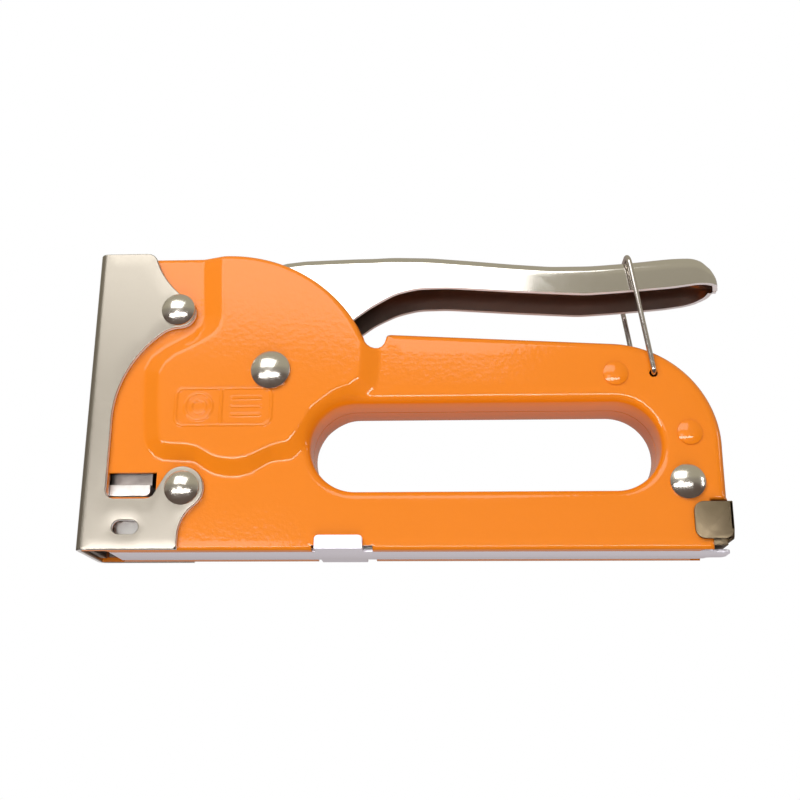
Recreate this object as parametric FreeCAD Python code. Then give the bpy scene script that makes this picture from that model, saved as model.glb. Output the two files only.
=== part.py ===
import FreeCAD, Part
import math
import os

from FreeCAD import Vector

# Hand staple gun, in millimetres. X runs from the nose to the handle's tail,
# Y across the tool, Z up. The functions below measure X from the nose plate's
# front face; save() then moves the origin to the middle of the tool's length.

# Overall
LENGTH = 148.0
HEIGHT = 71.3

# Pressed-steel shells
SHEET = 1.0
BASE_HALF = 8.5
DOME_HALF = 10.4
DOME_SLOPE = 1.8
SHELL_TOP = 70.6
REAR_X = 144.4
CROWN_X = 31.0
NOTCH_START = (63.7, 49.3)
CLIP_STEP_X = 140.8
CLIP_STEP_Z = 10.8
EAR_NOTCH = (52.7, 66.3)
EAR_NOTCH_DEPTH = 1.0

# Finger opening, a slot between two half-round ends
OPENING_LOW = 13.3
OPENING_HIGH = 33.9
OPENING_FRONT = 51.8
OPENING_REAR = 130.9

# Nose plate
PLATE = 1.2
PLATE_HALF = 9.75
PLATE_BEND = 2.0
PLATE_EDGE_X = 6.0
WINDOW_X = (6.1, 17.3)
WINDOW_Z = (11.9, 17.8)

# Rivets: centres as (x, z)
NOSE_UPPER = (20.0, 56.6)
NOSE_LOWER = (23.4, 13.8)
PIVOT = (42.5, 41.2)
REAR = (135.9, 14.9)
GRIP_RIVETS = ((121.4, 40.3), (137.2, 26.2))
RIVET_SHANK_R = 2.0
RIVET_HEAD_R = 3.9
RIVET_HEAD_H = 2.0
PIVOT_HEAD_R = 4.5
PIVOT_HEAD_H = 2.3
GRIP_HEAD_R = 2.8
GRIP_HEAD_H = 0.9
GRIP_SHANK_R = 1.5

# Handle lever, pressed sheet
LEVER_SHEET = 1.2
LEVER_HALF = 7.0
LEVER_GRIP_HALF = 7.6
LEVER_FLARE_X = (64.0, 72.0)
LEVER_SIDE_GAP = 0.4
LEVER_TOP = [(126.0, 68.8), (112.0, 68.0), (98.0, 68.8), (84.0, 70.4), (69.4, 71.2), (56.0, 71.0),
             (44.5, 70.4)]
LEVER_UNDERSIDE = [(61.1, 54.8), (65.3, 58.0), (70.8, 60.9), (76.5, 62.0), (83.5, 62.1), (100.0, 60.8),
                   (115.5, 60.1), (124.0, 60.6), (136.3, 61.7), (143.8, 62.9)]
LEVER_TIP_REAR = 21.5
LEVER_ARM_REAR = 32.5
LEVER_ARM_Z = (30.0, 48.0)
BUSHING_R = 3.5
RUNNING_GAP = 0.05

# Bail
BAIL_PIVOT = (130.0, 40.3)
BAIL_TOP = (125.6, 69.5)
BAIL_WIRE_R = 0.6
BAIL_HALF = 9.35
BAIL_BEND = 2.5
BAIL_FOOT = 6.6

# Plunger, blade and main spring
BLADE_X = (1.5, 2.7)
BLADE_HALF = 5.7
BLADE_Z = (0.6, 30.0)
PLUNGER_X = (2.7, 15.6)
PLUNGER_Z = (12.5, 27.0)
PLUNGER_HALF = 5.6
FOOT_HALF = 7.2
FOOT_TOP = 15.2
LUG_END_X = 19.0
LUG_Z = (20.0, 24.0)
POCKET_R = 2.6
POCKET_DEPTH = 2.0
BUMPER_Z = (11.3, 12.4)
SPRING_X = 9.4
SPRING_COIL_R = 5.1
SPRING_WIRE_R = 0.8
SPRING_TOP = 66.0
SPRING_TURNS = 9

# Magazine
CHANNEL_SHEET = 0.7
LIP_HALF = 5.5
LIP_FRONT = 6.5
CHANNEL_HALF = 7.1
CHANNEL_TOP = 11.2
CHANNEL_FRONT = 3.2
SIDE_PLAY = 0.3
RAIL_SHEET = 0.8
RAIL_HALF = 5.2
RAIL_FRONT = 6.7
RAIL_TIP = 145.4
RAIL_PLAY = 0.25
EAR_X = (53.4, 64.1)
EAR_Z = 3.2
EAR_HALF = 9.4
EAR_SHEET = 0.7
CORE_HALF = 4.9
CORE_TOP = 8.6
CORE_X = (7.0, 138.0)
CORE_SHEET = 0.7
SLOT_HALF = 1.3
SLOT_FRONT = 12.5
FOLLOWER_X = (8.0, 20.0)
FOLLOWER_HALF = 5.9
FOLLOWER_SHEET = 0.8
FOLLOWER_TOP = 9.7
TONGUE_HALF = 1.0
TONGUE_X = (16.0, 20.0)
ROD_R = 1.0
ROD_Z = 4.4
ROD_FRONT = 12.0
ROD_SEAT = 2.0
CLIP_FRONT = 136.7
CLIP_PLUG_X = 141.0
CLIP_BACK_X = 144.4
CLIP_Z = (2.1, 10.4)
CLIP_HALF = 9.4
CLIP_SHEET = 0.7
CLIP_PLAY = 0.5
PUSHER_COIL_R = 2.1
PUSHER_WIRE_R = 0.3
PUSHER_PITCH = 3.2

# Gap left between two pieces that are fastened together
SEAM = 0.03

# How far a cutting tool runs past the metal it cuts
PAST = 5.0

# The ways makeOffset2D joins two edges at a corner: with an arc, or extended until they meet
CORNERS_ROUNDED = 0
CORNERS_KEPT = 2


# ---------------------------------------------------------------- helpers

def at(x, z, y=0.0):
    """A point, from its distance behind the nose and its height."""
    return Vector(x, y, z)


def outline(start, *steps):
    """Closed side outline. A step is (x, z) for a straight edge, (xm, zm, x, z) for an arc
    through a middle point, or a list of points for one smooth curve through them."""
    edges = []
    here = at(*start)
    for step in list(steps) + [start]:
        if isinstance(step, list):
            curve = Part.BSplineCurve()
            curve.interpolate([here] + [at(*point) for point in step])
            edges.append(curve.toShape())
            here = at(*step[-1])
        elif len(step) == 4:
            end = at(step[2], step[3])
            edges.append(Part.Arc(here, at(step[0], step[1]), end).toShape())
            here = end
        else:
            end = at(*step)
            if end.distanceToPoint(here) > 1e-6:
                edges.append(Part.LineSegment(here, end).toShape())
            here = end
    return Part.Wire(edges)


def prism(wire, low_y, high_y):
    """The solid between two depths across the tool with this side outline."""
    solid = Part.Face(wire).extrude(Vector(0, high_y - low_y, 0))
    solid.translate(Vector(0, low_y, 0))
    return solid


def grown(wire, distance, join=CORNERS_KEPT):
    """The outline moved outward, or inward when the distance is negative."""
    return wire.makeOffset2D(distance, join)


def block(x, y, z):
    """A box from three (low, high) pairs."""
    size = [high - low for low, high in (x, y, z)]
    return Part.makeBox(size[0], size[1], size[2], Vector(x[0], y[0], z[0]))


def across(centre, radius, low_y, high_y):
    """A round bar or drill across the tool."""
    return Part.makeCylinder(radius, high_y - low_y, at(centre[0], centre[1], low_y), Vector(0, 1, 0))


def mirrored(solid):
    """The same solid on the other side of the tool."""
    return solid.mirror(Vector(0, 0, 0), Vector(0, 1, 0))


def coil(radius, wire_r, pitch, length):
    """A coil spring standing on the origin along Z, between its end turns' centres."""
    spine = Part.makeHelix(pitch, length, radius)
    ring = Part.makeCircle(wire_r, Vector(radius, 0, 0), Vector(0, 1, 0))
    return Part.Wire(spine.Edges).makePipeShell([Part.Wire(ring)], True, True)


def save(name, shapes):
    """Write one node, with the origin at the middle of the tool's length."""
    if not isinstance(shapes, list):
        shapes = [shapes]
    solids = []
    for shape in shapes:
        clean = shape.removeSplitter()
        solids.extend(clean.Solids)
    whole = solids[0] if len(solids) == 1 else Part.makeCompound(solids)
    whole.translate(Vector(-LENGTH / 2, 0, 0))
    box = whole.BoundBox
    whole.exportStep("parts/" + name + ".step")
    print(name, len(solids), whole.isValid(), round(whole.Volume, 1),
          [round(v, 2) for v in (box.XMin, box.XMax, box.YMin, box.YMax, box.ZMin, box.ZMax)])


# ---------------------------------------------------------------- outlines

def crown():
    """The dome's rear edge: an arc that ends level at the top of the shell."""
    run = NOTCH_START[0] - CROWN_X
    drop = SHELL_TOP - NOTCH_START[1]
    radius = (run ** 2 + drop ** 2) / (2 * drop)
    half_turn = math.asin(run / radius) / 2
    middle_x = CROWN_X + radius * math.sin(half_turn)
    middle_z = SHELL_TOP - radius * (1 - math.cos(half_turn))
    return (middle_x, middle_z, CROWN_X, SHELL_TOP)


def body_outline():
    """Side outline of a shell: nose, dome, handle notch, grip bar and rounded rear."""
    return outline(
        (PLATE + SEAM, 0), (CLIP_STEP_X, 0), (CLIP_STEP_X, CLIP_STEP_Z), (REAR_X, CLIP_STEP_Z),
        (REAR_X, 22.5), (137.6, 40.5, 121.5, 48.0), (69.2, 50.9), (68.7, 49.2),
        (66.3, 47.1) + NOTCH_START, crown(), (PLATE + SEAM, SHELL_TOP))


def dome_outline():
    """The raised part of a shell, round the lever's pivot and the nose mechanism."""
    return outline(
        (24.8, SHELL_TOP), (24.8, 56.5), (23.4, 52.6), (18.2, 49.0), (14.4, 45.9), (13.0, 41.0),
        (13.4, 25.3), (14.6, 21.7), (17.6, 20.1), (25.2, 20.0), (28.6, 17.2), (33.4, 16.1), (38.6, 17.2),
        (42.2, 19.8), (48.2, 20.2), (56.0, 24.0), (67.0, 33.0), (67.0, 47.2), (66.3, 47.1) + NOTCH_START,
        crown())


def opening_outline():
    """The finger opening."""
    middle = (OPENING_LOW + OPENING_HIGH) / 2
    end_r = (OPENING_HIGH - OPENING_LOW) / 2
    front = OPENING_FRONT + end_r
    rear = OPENING_REAR - end_r
    return outline(
        (front, OPENING_LOW), (rear, OPENING_LOW), (OPENING_REAR, middle, rear, OPENING_HIGH),
        (front, OPENING_HIGH), (OPENING_FRONT, middle, front, OPENING_LOW))


def lever_outline():
    """The handle lever: lifting tip, arms, pivot boss, waved grip and round tail."""
    return outline(
        (17.0, 38.5), (17.7, 36.7, 19.6, 36.0), (36.0, 36.4), (42.6, 33.8, 49.0, 37.8), (56.5, 50.6),
        LEVER_UNDERSIDE, (146.6, 63.4, LENGTH, 64.6), (146.2, 68.1, 141.0, 69.9), LEVER_TOP,
        (41.5, 68.6), (35.6, 54.0), (33.4, 46.6), (20.4, 41.0), (17.8, 40.6, 17.0, 38.5))


def lever_hollow():
    """Side outline of the room inside the lever, open along the underside."""
    top = [(x, z - LEVER_SHEET) for x, z in LEVER_TOP[:-1]]
    return outline(
        (LEVER_ARM_REAR, LEVER_ARM_Z[0]), (LENGTH - LEVER_SHEET, LEVER_ARM_Z[0]),
        (LENGTH - LEVER_SHEET, 64.6), (145.2, 67.1, 141.0, 68.7), top,
        (45.0, 69.2), (42.5, 67.9), (36.8, 53.6), (34.7, 46.4), (LEVER_ARM_REAR, 45.6))


def plate_outline():
    """Side face of the nose plate, with a lobe at each nose rivet."""
    return outline(
        (0, 0), (22.9, 0), (22.9, 3.0), (23.9, 7.2, 26.3, 10.0), (28.2, 14.2, 25.2, 18.4),
        (22.0, 18.7, 19.2, 16.5), (17.3, 13.0), (16.5, 11.9, 15.2, 11.5), (8.0, 11.5),
        (6.5, 12.1, PLATE_EDGE_X, 13.5), (PLATE_EDGE_X, 29.0), (9.0, 42.3, 17.0, 51.4),
        (18.6, 52.1, 20.6, 52.4), (24.1, 56.2, 22.2, 59.2), (17.5, 63.3, 14.1, 69.1),
        (13.1, 70.8, 11.4, HEIGHT), (0, HEIGHT))


# ---------------------------------------------------------------- frame

def near_shell():
    """One shell: base pressing and raised dome, hollow, with flanged edges meeting in the middle."""
    body = body_outline()
    dome = dome_outline()
    opening = opening_outline()

    base = prism(body, -BASE_HALF, -SEAM)
    outer = base.fuse(sloped(dome, -DOME_HALF, -SEAM))

    hollow = prism(grown(body, -SHEET), -BASE_HALF + SHEET, PAST)
    hollow = hollow.fuse(sloped(grown(dome, -SHEET), -DOME_HALF + SHEET, -BASE_HALF + SHEET + 1))
    nose_room = block((-PAST, PLATE + 2), (-BASE_HALF + SHEET, PAST), (-PAST, SHELL_TOP - SHEET))
    nose_mouth = block((-PAST, LIP_FRONT), (-BASE_HALF + SHEET, PAST), (-PAST, SHEET + 1))
    base_room = block((-PAST, CLIP_STEP_X + PAST), (-LIP_HALF, PAST), (-PAST, SHEET + 1))
    rear_room = block((CLIP_STEP_X - 2, REAR_X + PAST), (-BASE_HALF + SHEET, PAST),
                      (-PAST, CHANNEL_TOP + SIDE_PLAY))
    hollow = hollow.fuse([nose_room, nose_mouth, base_room, rear_room])
    flange = prism(grown(opening, SHEET), -DOME_HALF - 1, PAST)
    hollow = hollow.cut(flange)

    shell = outer.cut(hollow)
    cuts = [prism(opening, -DOME_HALF - 1, PAST), lever_mouth(), ear_notch(), nose_window()]
    for centre in (PIVOT, NOSE_UPPER, NOSE_LOWER, REAR):
        cuts.append(across(centre, RIVET_SHANK_R + RUNNING_GAP, -DOME_HALF - 1, PAST))
    for centre in GRIP_RIVETS:
        cuts.append(across(centre, GRIP_SHANK_R + RUNNING_GAP, -DOME_HALF - 1, PAST))
    cuts.append(across(BAIL_PIVOT, BAIL_WIRE_R + RUNNING_GAP, -DOME_HALF - 1, PAST))
    cuts.append(prism(grown(nose_slot(), SIDE_PLAY), -BASE_HALF - 1, 0))
    shell = shell.cut(cuts)
    return shell


def sloped(wire, low_y, high_y):
    """A pressing with this outline, its outer face edge sloped all round."""
    foot = wire.copy()
    foot.translate(Vector(0, low_y + DOME_SLOPE, 0))
    face = grown(wire, -DOME_SLOPE)
    face.translate(Vector(0, low_y, 0))
    slope = Part.makeLoft([foot, face], True, True)
    return prism(wire, low_y + DOME_SLOPE, high_y).fuse(slope)


def lever_mouth():
    """Room between the shells for the lever, from squeezed to fully open."""
    half = LEVER_HALF + LEVER_SIDE_GAP
    above = SHELL_TOP + PAST
    side = outline((38.0, above), (38.0, 62.0), (56.0, 54.0), (60.0, 46.8), (63.9, 47.0), (64.9, 48.7),
                   (68.0, 52.5), (80.0, above))
    return prism(side, -half, half)


def ear_notch():
    """Notch in the bottom edge that the magazine rail's ears pass through."""
    return block(EAR_NOTCH, (-BASE_HALF - 1, PAST), (-PAST, EAR_NOTCH_DEPTH))


def nose_window():
    """Window in the nose that shows the plunger's foot."""
    return block(WINDOW_X, (-BASE_HALF - 1, 0), WINDOW_Z)


def nose_slot():
    """Oblong hole low in the nose, through the plate and a little larger through the shells."""
    return outline((9.7, 3.4), (12.5, 3.4), (14.1, 5.0, 12.5, 6.6), (9.7, 6.6), (8.1, 5.0, 9.7, 3.4))


def nose_plate():
    """Sheet-steel U round the nose, open at the back and bottom."""
    whole = prism(plate_outline(), -PLATE_HALF, PLATE_HALF)
    front = [edge for edge in whole.Edges if edge.BoundBox.XMax < SEAM]
    corners = [edge for edge in front if edge.BoundBox.ZLength > HEIGHT - 1]
    whole = whole.makeFillet(PLATE_BEND, corners)
    inner_half = BASE_HALF + SEAM
    inside = block((PLATE, LENGTH), (-inner_half, inner_half), (-PAST, HEIGHT + PAST))
    plate = whole.cut(inside)
    cuts = [prism(nose_slot(), -PLATE_HALF - 1, PLATE_HALF + 1)]
    for centre in (NOSE_UPPER, NOSE_LOWER):
        cuts.append(across(centre, RIVET_SHANK_R + RUNNING_GAP, -PLATE_HALF - 1, PLATE_HALF + 1))
    return plate.cut(cuts)


def rivet(centre, shank_r, head_r, head_h, face_y):
    """A rivet across the tool with the same low domed head on both faces."""
    seat_y = face_y + SEAM
    ball_r = (head_r ** 2 + head_h ** 2) / (2 * head_h)
    ball = Part.makeSphere(ball_r, at(centre[0], centre[1], -seat_y - head_h + ball_r))
    head = ball.common(across(centre, head_r + 1, -seat_y - head_h - 1, -seat_y))
    shank = across(centre, shank_r, -seat_y - 0.1, seat_y + 0.1)
    return shank.fuse([head, mirrored(head)])


def sleeve(centre, outer_r, half):
    """A spacer sleeve on a rivet's shank."""
    bar = across(centre, outer_r, -half + SEAM, half - SEAM)
    return bar.cut(across(centre, RIVET_SHANK_R + RUNNING_GAP, -half - 1, half + 1))


# ---------------------------------------------------------------- handle and bail

def lever_plan(inset):
    """The lever seen from above, a sheet's thickness smaller or not, as a tall solid."""
    arm = LEVER_HALF - inset
    grip = LEVER_GRIP_HALF - inset
    tail_x = LENGTH - LEVER_GRIP_HALF
    flare, widest = LEVER_FLARE_X
    side = [(tail_x, grip), (widest, grip), (flare, arm), (0, arm)]
    corners = [Vector(x, y, 0) for x, y in side] + [Vector(x, -y, 0) for x, y in reversed(side)]
    edges = [Part.LineSegment(one, other).toShape() for one, other in zip(corners, corners[1:])]
    edges.append(Part.Arc(corners[-1], Vector(LENGTH - inset, 0, 0), corners[0]).toShape())
    return Part.Face(Part.Wire(edges)).extrude(Vector(0, 0, HEIGHT + PAST))


def lever():
    """Handle lever: a channel open below with a round tail, two arms to the pivot and a solid lifting tip."""
    whole = prism(lever_outline(), -LEVER_GRIP_HALF, LEVER_GRIP_HALF).common(lever_plan(0))
    hollow = prism(lever_hollow(), -LEVER_GRIP_HALF, LEVER_GRIP_HALF).common(lever_plan(LEVER_SHEET))
    inner_half = LEVER_HALF - LEVER_SHEET
    arm_gap = block((LEVER_TIP_REAR, LEVER_ARM_REAR + 0.5), (-inner_half, inner_half), LEVER_ARM_Z)
    bore = across(PIVOT, BUSHING_R + RUNNING_GAP, -LEVER_HALF - 1, LEVER_HALF + 1)
    return whole.cut([hollow, arm_gap, bore])


def lever_spring():
    """Torsion spring on the bushing: its coil, a leg to the opening's flange and a leg to the lever."""
    wire_r = 0.55
    coil_r = 4.9
    turns = 4
    pitch = 1.4
    half = turns * pitch / 2
    body = coil(coil_r, wire_r, pitch, turns * pitch)
    body.rotate(Vector(0, 0, 0), Vector(1, 0, 0), -90)
    body.rotate(Vector(0, 0, 0), Vector(0, 1, 0), 90)
    body.translate(at(PIVOT[0], PIVOT[1], -half))
    bottom = PIVOT[1] - coil_r
    legs = []
    for y, way in ((-half, Vector(14.0, 0, -1.6)), (half, Vector(-13.0, 0, 0))):
        start = at(PIVOT[0], bottom, y) + Vector(way).normalize() * 2 * SEAM
        legs.append(Part.makeCylinder(wire_r, way.Length, start, way))
    return [body] + legs


def bail():
    """Wire loop over the handle, with a foot in each side of the grip."""
    reach = math.hypot(BAIL_TOP[0] - BAIL_PIVOT[0], BAIL_TOP[1] - BAIL_PIVOT[1])
    lean = math.degrees(math.atan2(BAIL_TOP[0] - BAIL_PIVOT[0], BAIL_TOP[1] - BAIL_PIVOT[1]))
    knee = 1.0
    cut = 1 - math.sqrt(0.5)

    def point(y, z):
        return Vector(0, y, z)

    side = []
    for sign in (-1, 1):
        out = sign * BAIL_HALF
        side.append([
            Part.LineSegment(point(sign * BAIL_FOOT, 0), point(out - sign * knee, 0)).toShape(),
            Part.Arc(point(out - sign * knee, 0), point(out - sign * knee * cut, knee * cut),
                     point(out, knee)).toShape(),
            Part.LineSegment(point(out, knee), point(out, reach - BAIL_BEND)).toShape(),
            Part.Arc(point(out, reach - BAIL_BEND),
                     point(out - sign * BAIL_BEND * cut, reach - BAIL_BEND * cut),
                     point(out - sign * BAIL_BEND, reach)).toShape()])
    straight = BAIL_HALF - BAIL_BEND
    bar = Part.LineSegment(point(-straight, reach), point(straight, reach)).toShape()
    spine = Part.Wire(Part.sortEdges(side[0] + [bar] + side[1])[0])
    ring = Part.Wire(Part.makeCircle(BAIL_WIRE_R, point(-BAIL_FOOT, 0), Vector(0, 1, 0)))
    loop = spine.makePipeShell([ring], True, False)
    loop.rotate(Vector(0, 0, 0), Vector(0, 1, 0), lean)
    loop.translate(at(*BAIL_PIVOT))
    return loop


# ---------------------------------------------------------------- plunger

def plunger():
    """Steel block with a foot, a round pocket in its top and the lug that the lever's tip lifts."""
    body = block(PLUNGER_X, (-PLUNGER_HALF, PLUNGER_HALF), (PLUNGER_Z[0], PLUNGER_Z[1]))
    foot = block((PLUNGER_X[0] + 1, PLUNGER_X[1]), (-FOOT_HALF, FOOT_HALF), (PLUNGER_Z[0], FOOT_TOP))
    lug = block((PLUNGER_X[1] - 1, LUG_END_X), (-PLUNGER_HALF, PLUNGER_HALF), LUG_Z)
    pocket = Part.makeCylinder(POCKET_R, POCKET_DEPTH + 1, at(SPRING_X, PLUNGER_Z[1] - POCKET_DEPTH))
    return body.fuse([foot, lug]).cut(pocket)


def driver_blade():
    """Flat blade on the plunger's front."""
    return block(BLADE_X, (-BLADE_HALF, BLADE_HALF), BLADE_Z)


def bumper():
    """Pad under the plunger, on the staple channel."""
    return block((CHANNEL_FRONT, PLUNGER_X[1]), (-BLADE_HALF, BLADE_HALF), BUMPER_Z)


def main_spring():
    """Compression spring between the plunger and its top seat."""
    low = PLUNGER_Z[1] + SPRING_WIRE_R
    length = SPRING_TOP - SPRING_WIRE_R - low
    body = coil(SPRING_COIL_R, SPRING_WIRE_R, length / SPRING_TURNS, length)
    body.translate(at(SPRING_X, low))
    return body


def spring_seat():
    """Seat plate with a centring boss, under the top of the shells."""
    boss_r = 3.4
    boss_h = 4.0
    plate = block((PLUNGER_X[0], PLUNGER_X[1] + 1), (-PLUNGER_HALF, PLUNGER_HALF),
                  (SPRING_TOP, SHELL_TOP - SHEET - SEAM))
    boss = Part.makeCylinder(boss_r, boss_h, at(SPRING_X, SPRING_TOP - boss_h))
    return plate.fuse(boss)


# ---------------------------------------------------------------- magazine

def staple_channel():
    """Fixed channel, open below, that guides the staples' legs."""
    whole = block((CHANNEL_FRONT, CLIP_STEP_X - SIDE_PLAY), (-CHANNEL_HALF, CHANNEL_HALF),
                  (RAIL_SHEET + RAIL_PLAY, CHANNEL_TOP))
    inner = CHANNEL_HALF - CHANNEL_SHEET
    inside = block((-PAST, LENGTH), (-inner, inner), (-PAST, CHANNEL_TOP - CHANNEL_SHEET))
    return whole.cut(inside)


def magazine_rail():
    """Bottom strip with an ear on each side and a tapered tongue at the rear."""
    tongue = 3.4
    tip = 2.0
    neck_x = 141.2
    side = [(RAIL_FRONT, RAIL_HALF), (neck_x - 1.5, RAIL_HALF), (neck_x, tongue + 1), (RAIL_TIP - 1, tongue),
            (RAIL_TIP, tip)]
    corners = [Vector(x, -y, 0) for x, y in side] + [Vector(x, y, 0) for x, y in reversed(side)]
    plan = Part.makePolygon(corners + [corners[0]])
    strip = Part.Face(plan).extrude(Vector(0, 0, RAIL_SHEET))
    saddle = block(EAR_X, (-EAR_HALF, EAR_HALF), (0, RAIL_SHEET))
    nick = 0.8
    front, rear = EAR_X
    ear_side = outline((front, 0), (rear, 0), (rear, EAR_Z - nick), (rear - nick, EAR_Z),
                       (front + nick, EAR_Z), (front, EAR_Z - nick))
    ear = prism(ear_side, -EAR_HALF, -EAR_HALF + EAR_SHEET)
    return strip.fuse([saddle, ear, mirrored(ear)])


def rail_core():
    """Channel on the strip that the staples straddle, slotted for the follower's tongue."""
    whole = block(CORE_X, (-CORE_HALF, CORE_HALF), (RAIL_SHEET, CORE_TOP))
    inner = CORE_HALF - CORE_SHEET
    inside = block((-PAST, LENGTH), (-inner, inner), (-PAST, CORE_TOP - CORE_SHEET))
    slot = block((SLOT_FRONT, LENGTH), (-SLOT_HALF, SLOT_HALF), (0, HEIGHT))
    return whole.cut([inside, slot])


def follower():
    """Saddle over the rail core, with a tongue through its slot that runs on the pusher rod."""
    skirt_low = 2.0
    whole = block(FOLLOWER_X, (-FOLLOWER_HALF, FOLLOWER_HALF), (skirt_low, FOLLOWER_TOP))
    inner = FOLLOWER_HALF - FOLLOWER_SHEET
    inside = block((-PAST, LENGTH), (-inner, inner), (-PAST, FOLLOWER_TOP - FOLLOWER_SHEET))
    tongue = block(TONGUE_X, (-TONGUE_HALF, TONGUE_HALF), (ROD_Z, FOLLOWER_TOP - 0.1))
    eye_length = TONGUE_X[1] - TONGUE_X[0]
    eye = Part.makeCylinder(2.4, eye_length, at(TONGUE_X[0], ROD_Z), Vector(1, 0, 0))
    bore = Part.makeCylinder(ROD_R + RUNNING_GAP, eye_length + 2, at(TONGUE_X[0] - 1, ROD_Z), Vector(1, 0, 0))
    return whole.cut(inside).fuse([tongue, eye]).cut(bore)


def pusher_rod():
    """Rod that the pusher spring is on."""
    return Part.makeCylinder(ROD_R, CLIP_PLUG_X + ROD_SEAT - ROD_FRONT, at(ROD_FRONT, ROD_Z), Vector(1, 0, 0))


def pusher_spring():
    """Long compression spring between the follower and the rear clip."""
    start = TONGUE_X[1] + PUSHER_WIRE_R + 0.05
    length = CLIP_PLUG_X - PUSHER_WIRE_R - 0.05 - start
    body = coil(PUSHER_COIL_R, PUSHER_WIRE_R, PUSHER_PITCH, length)
    body.rotate(Vector(0, 0, 0), Vector(0, 1, 0), 90)
    body.translate(at(start, ROD_Z))
    return body


def rear_clip():
    """End cap of the pusher: a plug in the shells' end, a back plate and two ears."""
    corner_r = 2.2
    edge_x = CLIP_BACK_X + CLIP_SHEET
    plug = block((CLIP_PLUG_X, CLIP_BACK_X + 0.1), (-RAIL_HALF, RAIL_HALF),
                 (RAIL_SHEET + CLIP_PLAY, CLIP_STEP_Z - CLIP_PLAY))
    plug = plug.cut(Part.makeCylinder(ROD_R, ROD_SEAT, at(CLIP_PLUG_X, ROD_Z), Vector(1, 0, 0)))
    back = block((CLIP_BACK_X, edge_x), (-CLIP_HALF, CLIP_HALF), CLIP_Z)
    low, high = CLIP_Z
    bend = corner_r * (1 - math.sqrt(0.5))
    ear_side = outline(
        (edge_x, low + corner_r), (edge_x, high), (CLIP_FRONT + corner_r, high),
        (CLIP_FRONT + bend, high - bend, CLIP_FRONT, high - corner_r), (CLIP_FRONT, low + corner_r),
        (CLIP_FRONT + bend, low + bend, CLIP_FRONT + corner_r, low), (edge_x - corner_r, low),
        (edge_x - bend, low + bend, edge_x, low + corner_r))
    ear = prism(ear_side, -CLIP_HALF, -CLIP_HALF + CLIP_SHEET)
    rounded = prism(ear_side, -CLIP_HALF, CLIP_HALF)
    return plug.fuse([back.common(rounded), ear, mirrored(ear)])


# ---------------------------------------------------------------- write the nodes

def main():
    os.makedirs("parts", exist_ok=True)
    shell = near_shell()
    save("left_shell", shell)
    save("right_shell", mirrored(shell))
    save("nose_plate", nose_plate())
    save("nose_rivet_upper", rivet(NOSE_UPPER, RIVET_SHANK_R, RIVET_HEAD_R, RIVET_HEAD_H, PLATE_HALF))
    save("nose_rivet_lower", rivet(NOSE_LOWER, RIVET_SHANK_R, RIVET_HEAD_R, RIVET_HEAD_H, PLATE_HALF))
    save("pivot_rivet", rivet(PIVOT, RIVET_SHANK_R, PIVOT_HEAD_R, PIVOT_HEAD_H, DOME_HALF))
    save("rear_rivet", rivet(REAR, RIVET_SHANK_R, RIVET_HEAD_R, RIVET_HEAD_H, BASE_HALF))
    save("grip_rivets", [rivet(centre, GRIP_SHANK_R, GRIP_HEAD_R, GRIP_HEAD_H, BASE_HALF)
                         for centre in GRIP_RIVETS])
    save("pivot_bushing", sleeve(PIVOT, BUSHING_R, DOME_HALF - SHEET))
    save("rear_spacer", sleeve(REAR, 3.0, BASE_HALF - SHEET))
    save("lever", lever())
    save("lever_spring", lever_spring())
    save("bail", bail())
    save("plunger", plunger())
    save("driver_blade", driver_blade())
    save("bumper", bumper())
    save("main_spring", main_spring())
    save("spring_seat", spring_seat())
    save("staple_channel", staple_channel())
    save("magazine_rail", magazine_rail())
    save("rail_core", rail_core())
    save("follower", follower())
    save("pusher_rod", pusher_rod())
    save("pusher_spring", pusher_spring())
    save("rear_clip", rear_clip())


main()
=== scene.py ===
import math

import bpy
import numpy as np
from mathutils import Matrix, Vector
from mathutils.geometry import delaunay_2d_cdt

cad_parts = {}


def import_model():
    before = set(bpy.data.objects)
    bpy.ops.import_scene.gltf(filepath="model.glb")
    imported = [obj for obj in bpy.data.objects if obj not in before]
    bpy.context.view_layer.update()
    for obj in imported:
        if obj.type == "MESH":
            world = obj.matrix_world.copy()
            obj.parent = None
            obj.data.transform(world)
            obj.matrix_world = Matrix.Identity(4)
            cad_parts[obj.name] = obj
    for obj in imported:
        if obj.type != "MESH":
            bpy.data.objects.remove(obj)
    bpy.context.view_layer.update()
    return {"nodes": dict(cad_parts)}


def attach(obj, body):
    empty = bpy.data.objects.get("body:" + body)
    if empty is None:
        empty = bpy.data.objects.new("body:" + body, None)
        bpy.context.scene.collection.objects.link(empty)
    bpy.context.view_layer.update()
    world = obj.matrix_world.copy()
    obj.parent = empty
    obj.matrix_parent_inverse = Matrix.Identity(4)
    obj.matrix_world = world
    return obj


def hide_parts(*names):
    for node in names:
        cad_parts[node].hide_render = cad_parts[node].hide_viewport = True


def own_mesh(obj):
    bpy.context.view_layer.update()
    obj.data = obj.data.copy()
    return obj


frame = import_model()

# Lengths below are in millimetres, with X measured from the nose plate's front
# face, Y across the tool and Z up; place() turns them into the frame's metres.
HALF_LENGTH = 74.0
MM = 0.001

SHEET = 1.0
BASE_HALF = 8.5
DOME_RISE = 1.9
SHELL_TOP = 70.6
FRONT_X = 1.23
SEAM_Y = 0.14
MOUTH_Y = 7.5
LIP_Y = 5.5
RIM_ROUND = 1.9
BAR_ROUND = 2.0
BOTTOM_ROUND = 0.8
CROWN_ROUND = 1.5

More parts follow.
